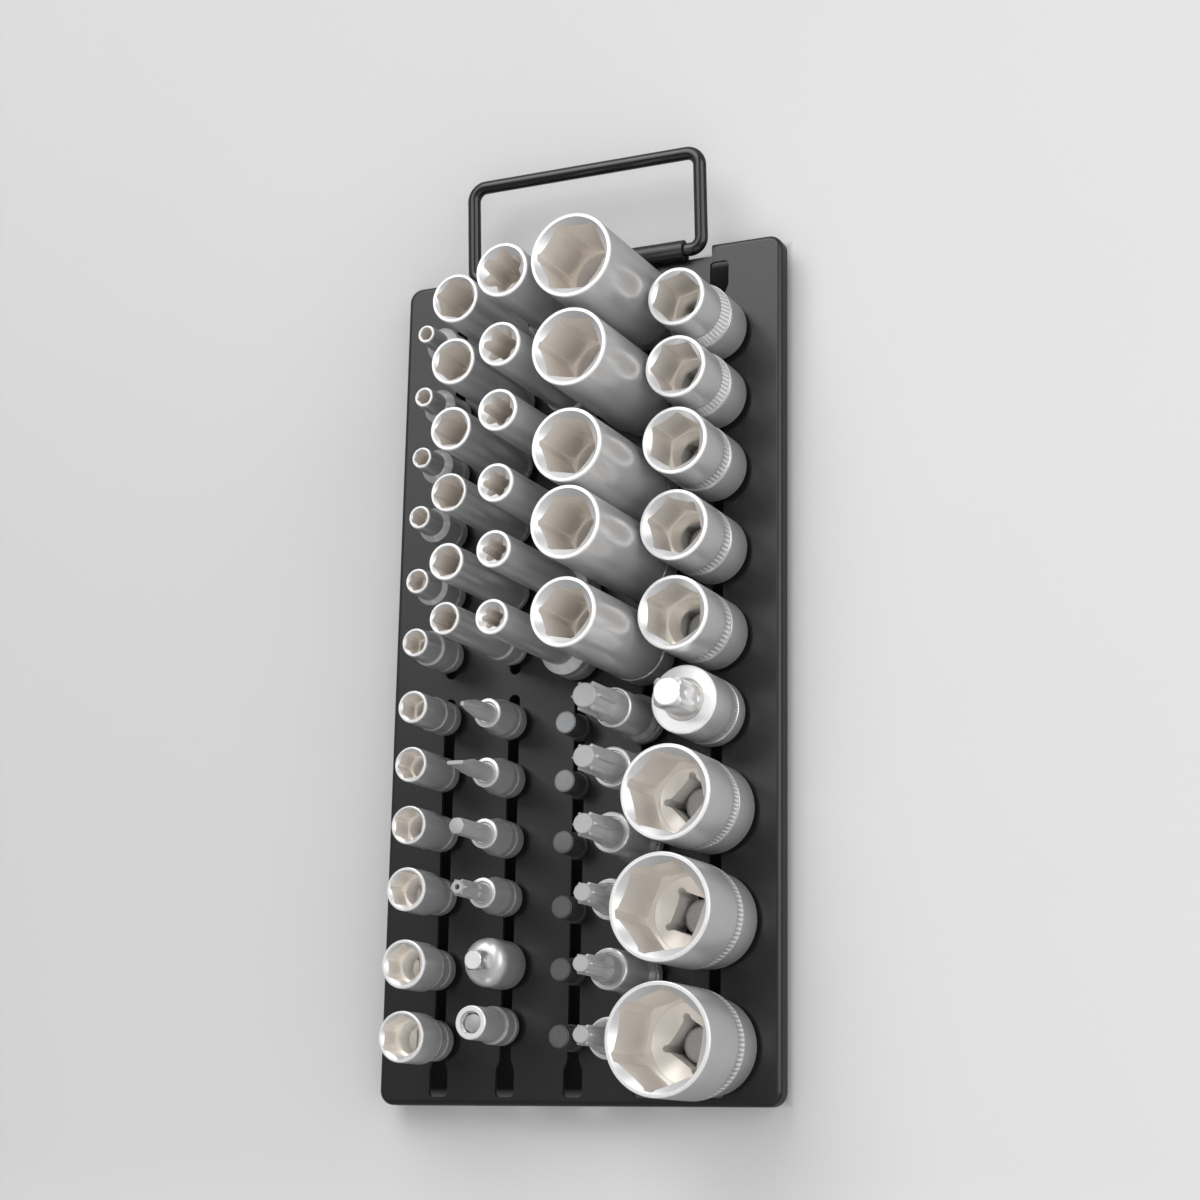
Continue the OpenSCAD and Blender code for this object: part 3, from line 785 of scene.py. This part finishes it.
def draw_tip(kind, shank, start, length):
    """Grinds a shank to its tip, which runs from start to the tool's full length."""
    reach = shank / 2
    pin_hole = 0.3 * reach
    rise = length - start
    if kind == "cross":
        for share, size, core in ((0.1, 1, 0.94), (0.28, 0.97, 0.7), (0.7, 0.62, 0.46), (1, 0.26, 0.2)):
            draw_ring(cross(size * reach, core * reach, 0.22 * reach), start + share * rise, STEEL)
    if kind == "flat":
        for share, thickness in ((0.06, 0.96), (0.3, 0.7), (0.65, 0.4), (1, 0.2)):
            draw_ring(blade(reach, thickness * reach), start + share * rise, STEEL)
    if kind == "hex":
        six = sided(6, shank * math.cos(math.pi / 6))
        draw_ring(six, start + 0.06 * rise, STEEL)
        draw_ring(six, length - 0.6 * mm, STEEL)
        draw_ring(turned_down(six, 0.9 * reach), length - 0.15 * mm, STEEL)
        draw_ring(0.8 * reach, length, STEEL)
    if kind == "star":
        lobes = splines(shank)
        draw_ring(lobes, start + 0.1 * rise, STEEL)
        draw_ring(lobes, length - 1.1 * mm, STEEL)
        draw_ring(turned_down(lobes, 0.8 * reach), length - 0.6 * mm, STEEL)
        draw_ring(0.7 * reach, length, STEEL)
        draw_ring(pin_hole, length, STEEL)
        draw_ring(pin_hole, length - 0.4 * rise, STEEL)
    close_end(STEEL)


def bit_socket(number):
    node = f"bit_socket_{number}"
    count = 72
    length = length_of(node)
    base = end_radii(node)[0]
    body = 18.2 * mm
    front = 0.8 * base
    shoulder = 0.55 * body
    shank = 6 * mm
    reach = shank / 2
    tip_start = length - 2 * shank
    start_bit_body(quarter_hole, quarter_depth, base, count)
    draw_skin(small_base(base, 6 * mm, 8.4 * mm, count))
    draw_skin([
        (base - 0.15 * mm, shoulder - 0.6 * mm),
        (front, body - 3.4 * mm),
        (front, body - 0.6 * mm),
        (front - 0.15 * mm, body - 0.15 * mm, RIM),
        (front - 0.45 * mm, body, RIM),
        (reach + 0.9 * mm, body),
        (reach + 0.45 * mm, body - 0.5 * mm),
        (reach, body - 0.5 * mm),
        (reach, body + 0.2 * mm, STEEL),
        (reach, tip_start, STEEL),
    ])
    draw_tip(("cross", "flat", "hex", "star")[number - 1], shank, tip_start, length)
    set_down(node)


def star_bit_socket(number):
    node = f"star_bit_socket_{number}"
    count = 96
    length = length_of(node)
    base = end_radii(node)[0]
    across = 10.5 * mm * (1, 0.905, 0.81, 0.714, 0.667, 0.667)[number - 1]
    body = 26.2 * mm
    front = 6.8 * mm
    shoulder = 0.32 * body
    thinnest_shank = 8.93 * mm
    reach = (max(across, thinnest_shank) + 0.5 * mm) / 2
    tip_start = length - 14.7 * mm
    lobes = splines(across)
    ridges = knurl(base, 0.2 * mm, count)
    start_bit_body(three_eighths_hole, 11.4 * mm, base, count)
    draw_skin([
        (base, 3.9 * mm),
        (base - 0.1 * mm, 4 * mm),
        (base, 4.1 * mm, RIM),
        (base, 4.4 * mm, RIM),
        (ridges, 4.6 * mm),
        (ridges, 5.8 * mm, BODY, count // 2),
        (base, 6 * mm),
        (base - 0.15 * mm, shoulder - 1.5 * mm),
        (front + 0.1 * mm, shoulder),
        (front, shoulder + 0.4 * mm),
        (front, body - 0.8 * mm),
        (front - 0.2 * mm, body - 0.25 * mm, RIM),
        (front - 0.6 * mm, body, RIM),
        (reach + 0.6 * mm, body),
        (reach + 0.3 * mm, body - 0.5 * mm),
        (reach, body - 0.5 * mm),
        (reach, tip_start - 1.2 * mm, STEEL),
        (morphed(reach, lobes, 0.5), tip_start + 0.4 * mm, STEEL),
        (lobes, tip_start + 2.4 * mm, STEEL),
        (lobes, length - 1.7 * mm, STEEL),
        (turned_down(lobes, 0.4 * across), length - 1.3 * mm, STEEL),
        (0.385 * across, length - 0.3 * mm, STEEL),
        (0.36 * across, length, STEEL),
    ])
    close_end(STEEL)
    set_down(node)


for number in range(1, 5):
    bit_socket(number)
for number in range(1, 7):
    star_bit_socket(number)


# Bit holder: a turned and chromed sleeve with a six-sided hole in a round recess. A plated magnet stands on
# the hole's floor, and holds a bit by its end.

def magnet_plate():
    finish, start = start_finish("magnet_plate", {"Metallic": 0.8})
    cloud = grain(start, 900, 3)
    cloud.blend((0.42, 0.42, 0.43), (0.56, 0.56, 0.565)).feed("Base Color")
    (0.35 + 0.2 * cloud).feed("Roughness")
    raise_skin(start, cloud, 0.02 * mm, 0.4)
    return finish


def bit_holder():
    node = "bit_holder"
    count = 72
    length = length_of(node)
    base, nose = end_radii(node)
    shoulder = 0.4 * length
    recess, recess_floor = 3.9 * mm, length - 1 * mm
    six = sided(6, 6.55 * mm, corner=0.98)
    hole_depth = 7.1 * mm
    magnet_radius, magnet_length = 3.1 * mm, 5.4 * mm
    start_bit_body(quarter_hole, quarter_depth, base, count)
    draw_skin(small_base(base, 3.2 * mm, 5.4 * mm, count))
    draw_skin([
        (base, shoulder - 1.2 * mm),
        (nose + 0.1 * mm, shoulder - 0.1 * mm),
        (nose, shoulder + 0.3 * mm),
        (nose, length - 0.6 * mm),
        (nose - 0.1 * mm, length - 0.2 * mm, RIM),
        (nose - 0.4 * mm, length, RIM),
        (recess, length, RIM),
        (recess - 0.15 * mm, length - 0.2 * mm),
        (recess - 0.15 * mm, recess_floor),
        (six, recess_floor),
        (six, length - hole_depth + 0.1 * mm, BORE),
        (magnet_radius, length - hole_depth, FLOOR),
    ])
    close_end(FLOOR)
    set_down(node)
    low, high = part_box(node)
    magnet_y = low.y + hole_depth - magnet_length / 2
    bpy.ops.object.select_all(action="DESELECT")
    bpy.ops.mesh.primitive_cylinder_add(
        vertices=48, radius=magnet_radius, depth=magnet_length, rotation=(math.pi / 2, 0, 0),
        location=((low.x + high.x) / 2, magnet_y, (low.z + high.z) / 2))
    bpy.ops.object.mode_set(mode="EDIT")
    bpy.ops.mesh.select_all(action="SELECT")
    bpy.ops.mesh.bevel(offset=0.3 * mm, segments=3, affect="EDGES")
    bpy.ops.object.mode_set(mode="OBJECT")
    magnet = bpy.context.object
    magnet.name = "bit_holder_magnet"
    magnet.data.materials.append(magnet_plate())
    bpy.ops.object.transform_apply(location=True, rotation=True, scale=True)
    bpy.ops.object.shade_smooth_by_angle(angle=math.radians(30))
    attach(magnet, node)


bit_holder()


# Adapters: one piece of chromed steel each, a small domed one and a large ridged one, with a square hole at
# one end and a drive square at the other. A spring ball set into the square clicks into a socket.

def draw_drive_square(side, start, length, land):
    """A drive square with rounded corners. Its end is chamfered over a share of its side, the land."""
    four = square(side)
    inner = 0.5 * side
    shaft = turned_down(four, 0.63 * side)
    draw_ring(shaft, start)
    draw_ring(shaft, length - land * side)
    draw_ring(turned_down(grown(four, -0.02 * side), inner), length - 0.04 * side)
    draw_ring(grown(turned_down(four, inner), -0.05 * side), length, RIM)
    close_end(RIM)


def spring_ball(node, side, back):
    """The ball stands a little proud of the square's right-hand face, back from its end."""
    low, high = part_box(node)
    radius = 0.17 * side
    sunk = 0.62 * radius
    bpy.ops.object.select_all(action="DESELECT")
    bpy.ops.mesh.primitive_uv_sphere_add(
        segments=32, ring_count=16, radius=radius,
        location=((low.x + high.x) / 2 + side / 2 - sunk, low.y + back, (low.z + high.z) / 2))
    ball = bpy.context.object
    ball.name = node + "_ball"
    ball.data.materials.append(tool_finishes[RIM])
    bpy.ops.object.transform_apply(location=True, rotation=True, scale=True)
    bpy.ops.object.shade_smooth_by_angle(angle=math.radians(60))
    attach(ball, node)


def small_adapter():
    node = "small_adapter"
    count = 72
    side = 6.35 * mm
    length = length_of(node)
    base = end_radii(node)[0]
    dome_start, dome_rise, dome_width = 12.2 * mm, 4.3 * mm, 0.62 * base
    dome_swing, dome_steps = math.radians(74), 8
    start_bit_body(quarter_hole, quarter_depth, base, count)
    draw_skin([(base, dome_start - 4 * mm), (base, dome_start)])
    for step in range(1, dome_steps + 1):
        swing = step / dome_steps * dome_swing
        radius = base - (1 - math.cos(swing)) * dome_width
        draw_ring(radius, dome_start + dome_rise * math.sin(swing) / math.sin(dome_swing))
    draw_drive_square(side, dome_start + dome_rise, length, land=0.3)
    set_down(node)
    spring_ball(node, side, back=3.2 * mm)


def large_adapter():
    node = "large_adapter"
    count = 144
    side = 9.53 * mm
    length = length_of(node)
    base = end_radii(node)[0]
    body, recess = 26.1 * mm, 6.8 * mm
    ridges = knurl(base, 0.3 * mm, count)
    start_bit_body(half_inch_hole, half_inch_depth, base, count)
    draw_skin([
        (base, 6.2 * mm),
        (base - 0.2 * mm, 6.4 * mm),
        (base - 0.2 * mm, 6.8 * mm),
        (base, 7 * mm),
        (ridges, 7.3 * mm),
        (ridges, 10.6 * mm),
        (base, 11 * mm),
        (base, 13.5 * mm),
    ])
    draw_skin(rim_steps(base, body))
    draw_skin([
        (recess + 0.5 * mm, body, RIM),
        (recess, body - 0.4 * mm, RIM),
        (recess, body - 1.2 * mm),
        (0.58 * side, body - 1.2 * mm, BORE),
    ])
    draw_drive_square(side, body - 0.4 * mm, length, land=0.12)
    set_down(node)
    spring_ball(node, side, back=5.4 * mm)


small_adapter()
large_adapter()


# Wall and floor: one pale painted sheet, flat under the organizer, curved up behind it and upright just
# behind its rim. It is the studio's, and no part of the organizer.

def cove_paint():
    """Only the camera and reflections see the paint, and only from its front, so it blocks no lamp. It is
    darker in reflections, and painted almost black behind the panel as a painted shadow of the panel."""
    paint = bpy.data.materials.new("cove_paint")
    paint.use_nodes = True
    start = Shade(paint.node_tree)
    nodes, links = paint.node_tree.nodes, paint.node_tree.links
    shader = nodes["Principled BSDF"]
    cloud = grain(start, 3, 3)
    path = nodes.new("ShaderNodeLightPath")
    glossy = Shade(start.tree, path.outputs["Is Glossy Ray"])
    low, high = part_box("panel")
    place = start.node("ShaderNodeTexCoord", {}, {}, "Object")
    across, up = place.coordinate("X"), place.coordinate("Z")
    inside = start.math("MINIMUM", across - low.x, high.x - across)
    inside = start.math("MINIMUM", inside, start.math("MINIMUM", up - low.z, high.z - up))
    # Painted shadow of the panel: within 6 mm inside its outline the paint falls to almost black.
    shade = inside.run(0.0, 6 * mm, 1, 0.02)
    tone = shade * (0.24 + (0.36 + 0.04 * cloud) * (1 - glossy))
    tone.blend((0, 0, 0), (1, 1, 0.993)).feed("Base Color")
    shader.inputs["Roughness"].default_value = 0.85
    seen = Shade(start.tree, path.outputs["Is Camera Ray"]) + glossy
    seen = seen + Shade(start.tree, path.outputs["Is Transmission Ray"])
    back = start.node("ShaderNodeNewGeometry", {}, {}, "Backfacing")
    clear = start.node("ShaderNodeBsdfTransparent", {}, {})
    mix = nodes.new("ShaderNodeMixShader")
    links.new((seen * (1 - back)).socket, mix.inputs["Fac"])
    links.new(clear.socket, mix.inputs[1])
    links.new(shader.outputs["BSDF"], mix.inputs[2])
    links.new(mix.outputs["Shader"], nodes["Material Output"].inputs["Surface"])
    return paint


def cove():
    width, front_y, wall_rise = 5.0, -4.0, 3.0
    wall_y, floor_z = 6 * mm, -0.12
    curve, curve_steps = 0.1, 12
    back_y = wall_y - curve
    bpy.ops.object.select_all(action="DESELECT")
    bpy.ops.mesh.primitive_plane_add(size=1)
    sheet = bpy.context.object
    bpy.ops.object.mode_set(mode="EDIT")
    mesh = bmesh.from_edit_mesh(sheet.data)
    for point in mesh.verts:
        point.co = (width * point.co.x, front_y if point.co.y < 0 else back_y, floor_z)
    bpy.ops.mesh.select_all(action="DESELECT")
    for edge in mesh.edges:
        edge.select = all(point.co.y > front_y / 2 for point in edge.verts)
    mesh.select_flush_mode()
    bmesh.update_edit_mesh(sheet.data)
    for step in range(curve_steps):
        old, new = (math.radians(90) * (step + k) / curve_steps for k in (0, 1))
        move = (0, curve * (math.sin(new) - math.sin(old)), curve * (math.cos(old) - math.cos(new)))
        bpy.ops.mesh.extrude_edges_move(TRANSFORM_OT_translate={"value": move})
    bpy.ops.mesh.extrude_edges_move(TRANSFORM_OT_translate={"value": (0, 0, wall_rise)})
    bpy.ops.object.mode_set(mode="OBJECT")
    sheet.name = "cove"
    sheet.data.materials.append(cove_paint())
    bpy.ops.object.shade_smooth_by_angle(angle=math.radians(30))


cove()


# Light: five wide soft lamps, two above the viewer, one at the right, one low in front and a weak one
# behind, under a sky that is palest overhead.

def soft_lamp(name, place, aim, size, power):
    """A round lamp: its place, aim and size are in metres and its power is in watts."""
    bpy.ops.object.light_add(type="AREA", location=place)
    lamp = bpy.context.object
    lamp.name = name
    lamp.data.shape = "DISK"
    lamp.data.size = size
    lamp.data.energy = power
    lamp.rotation_euler = (Vector(aim) - Vector(place)).to_track_quat("-Z", "Y").to_euler()


middle = (cad_box[0] + cad_box[1]) / 2
soft_lamp("key_lamp", (-0.2, -0.95, 1.25), middle, 1.2, 5.5)
soft_lamp("front_lamp", (-0.36, -1.15, 0.88), middle, 1.2, 6)
soft_lamp("right_lamp", (1.05, -0.6, 0.3), middle, 1.3, 7)
soft_lamp("low_lamp", (0.55, -0.95, -0.55), middle, 1.2, 7)
soft_lamp("back_lamp", (0.95, 0.6, -0.25), middle, 1.0, 3)

world = bpy.data.worlds.new("sky")
world.use_nodes = True
sky = Shade(world.node_tree)
direction = sky.node("ShaderNodeTexCoord", {}, {}, "Generated")
lift = direction.coordinate("Z").run(-0.8, 0.9)
tone = lift.blend((0.22, 0.22, 0.225), (0.55, 0.55, 0.56))
world.node_tree.links.new(tone.socket, world.node_tree.nodes["Background"].inputs["Color"])
bpy.context.scene.world = world


# Camera: at the right of the panel and just below its lower edge, looking up at it, as the photograph was
# taken. Its place and aim are in metres, and its lens and sensor in millimetres.

eye = Vector((0.35036, -0.74051, -0.02100))
aim = Vector((0.00689, -0.006, 0.17219))
roll = math.radians(1.05)
turned = (aim - eye).to_track_quat("-Z", "Y") @ Quaternion((0, 0, 1), roll)
bpy.ops.object.camera_add(location=eye, rotation=turned.to_euler())
camera = bpy.context.object
camera.data.lens = 71.94
camera.data.sensor_width = 36
bpy.context.scene.camera = camera
bpy.context.scene.view_settings.view_transform = "Standard"
